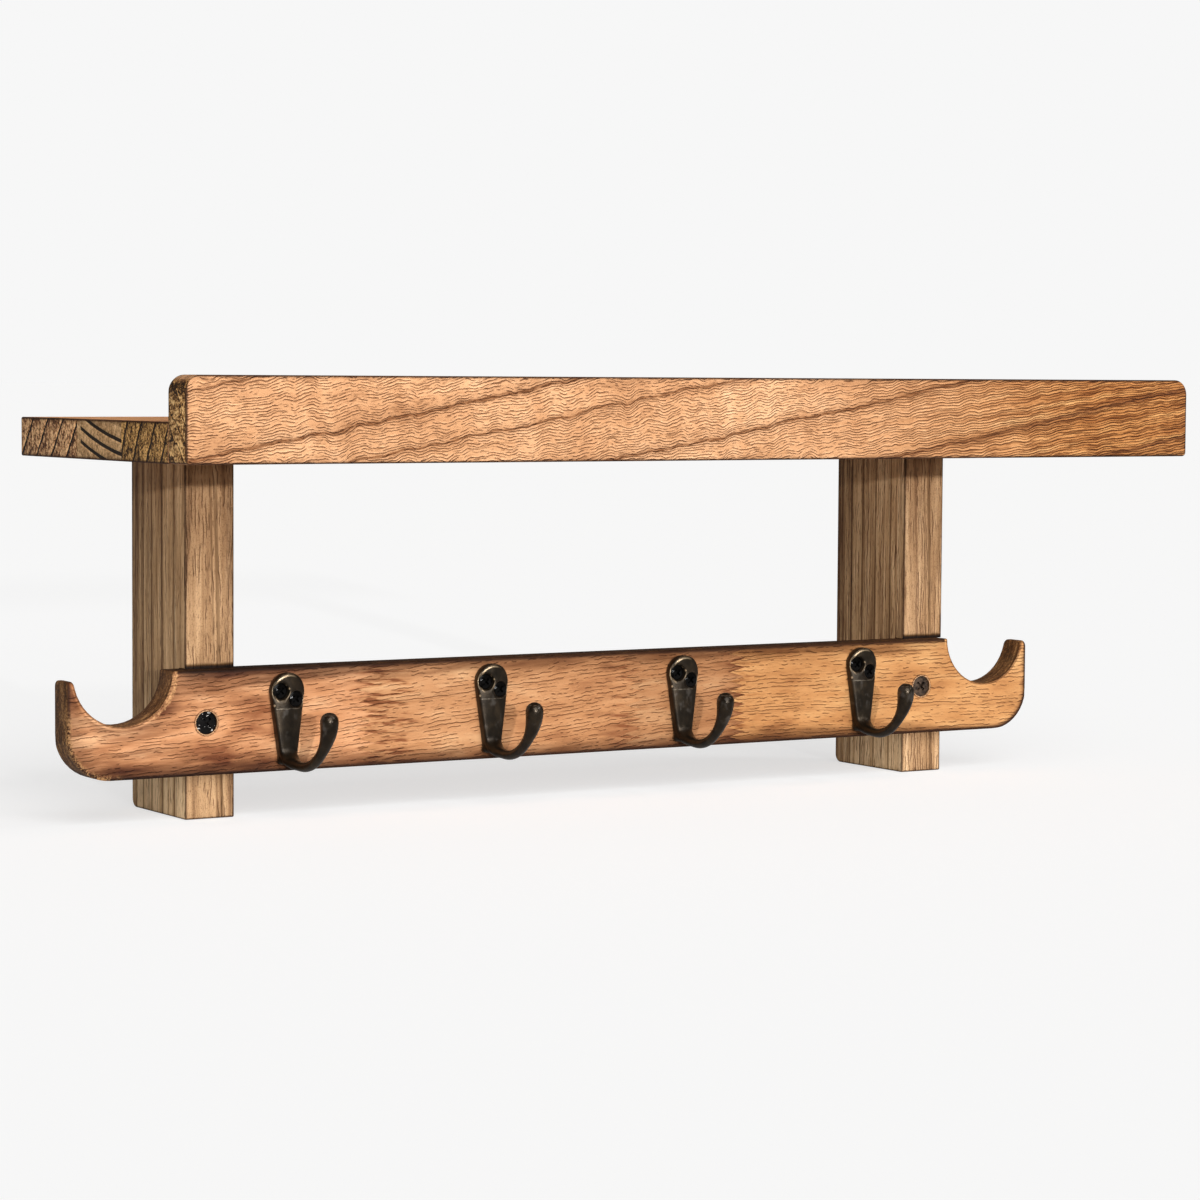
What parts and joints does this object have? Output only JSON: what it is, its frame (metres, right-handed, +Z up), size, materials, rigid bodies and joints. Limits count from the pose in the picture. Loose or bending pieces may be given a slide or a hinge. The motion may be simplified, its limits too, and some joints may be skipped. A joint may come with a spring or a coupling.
{
  "type": "wall hook rack",
  "caption": "Wooden wall rack: a shelf with an upright front lip on two deep posts, and a rail with upturned horn ends carrying small single metal hooks.",
  "frame": {"origin": "middle of the shelf board's back face, on the plane that touches the wall", "axes": "+X to the right along the rack as it hangs, +Y into the wall, +Z up"},
  "size_m": [0.526, 0.171, 0.194],
  "materials": {
    "shelf_wood": "clear lacquered tan hardwood",
    "lip_wood": "clear lacquered orange-tan hardwood",
    "post_wood": "clear lacquered tan hardwood",
    "rail_wood": "clear lacquered tan hardwood with scorched edges",
    "hook_metal": "oil-rubbed dark bronze",
    "screw_black": "black oxide, glossy",
    "screw_zinc": "zinc plated",
    "dowel_wood": "plain beech"
  },
  "bodies": {
    "root": {"shelf_stave_back": "shelf_wood", "shelf_stave_middle": "shelf_wood", "shelf_stave_front": "shelf_wood", "front_lip": "lip_wood", "left_post": "post_wood", "right_post": "post_wood", "hook_rail": "rail_wood", "hook_1": "hook_metal", "hook_2": "hook_metal", "hook_3": "hook_metal", "hook_4": "hook_metal", "hook_1_screw_upper": "screw_black", "hook_1_screw_lower": "screw_black", "hook_2_screw_upper": "screw_black", "hook_2_screw_lower": "screw_black", "hook_3_screw_upper": "screw_black", "hook_3_screw_lower": "screw_black", "hook_4_screw_upper": "screw_black", "hook_4_screw_lower": "screw_black", "rail_screw_left": "screw_black", "rail_screw_right": "screw_black", "shelf_screw_left_back": "screw_zinc", "shelf_screw_left_front": "screw_zinc", "shelf_screw_right_back": "screw_zinc", "shelf_screw_right_front": "screw_zinc", "lip_dowel_1": "dowel_wood", "lip_dowel_2": "dowel_wood", "lip_dowel_3": "dowel_wood", "lip_dowel_4": "dowel_wood", "hanger_plate_left": "screw_zinc", "hanger_plate_right": "screw_zinc", "hanger_screw_left_top": "screw_zinc", "hanger_screw_left_bottom": "screw_zinc", "hanger_screw_right_top": "screw_zinc", "hanger_screw_right_bottom": "screw_zinc"}
  },
  "joints": []
}
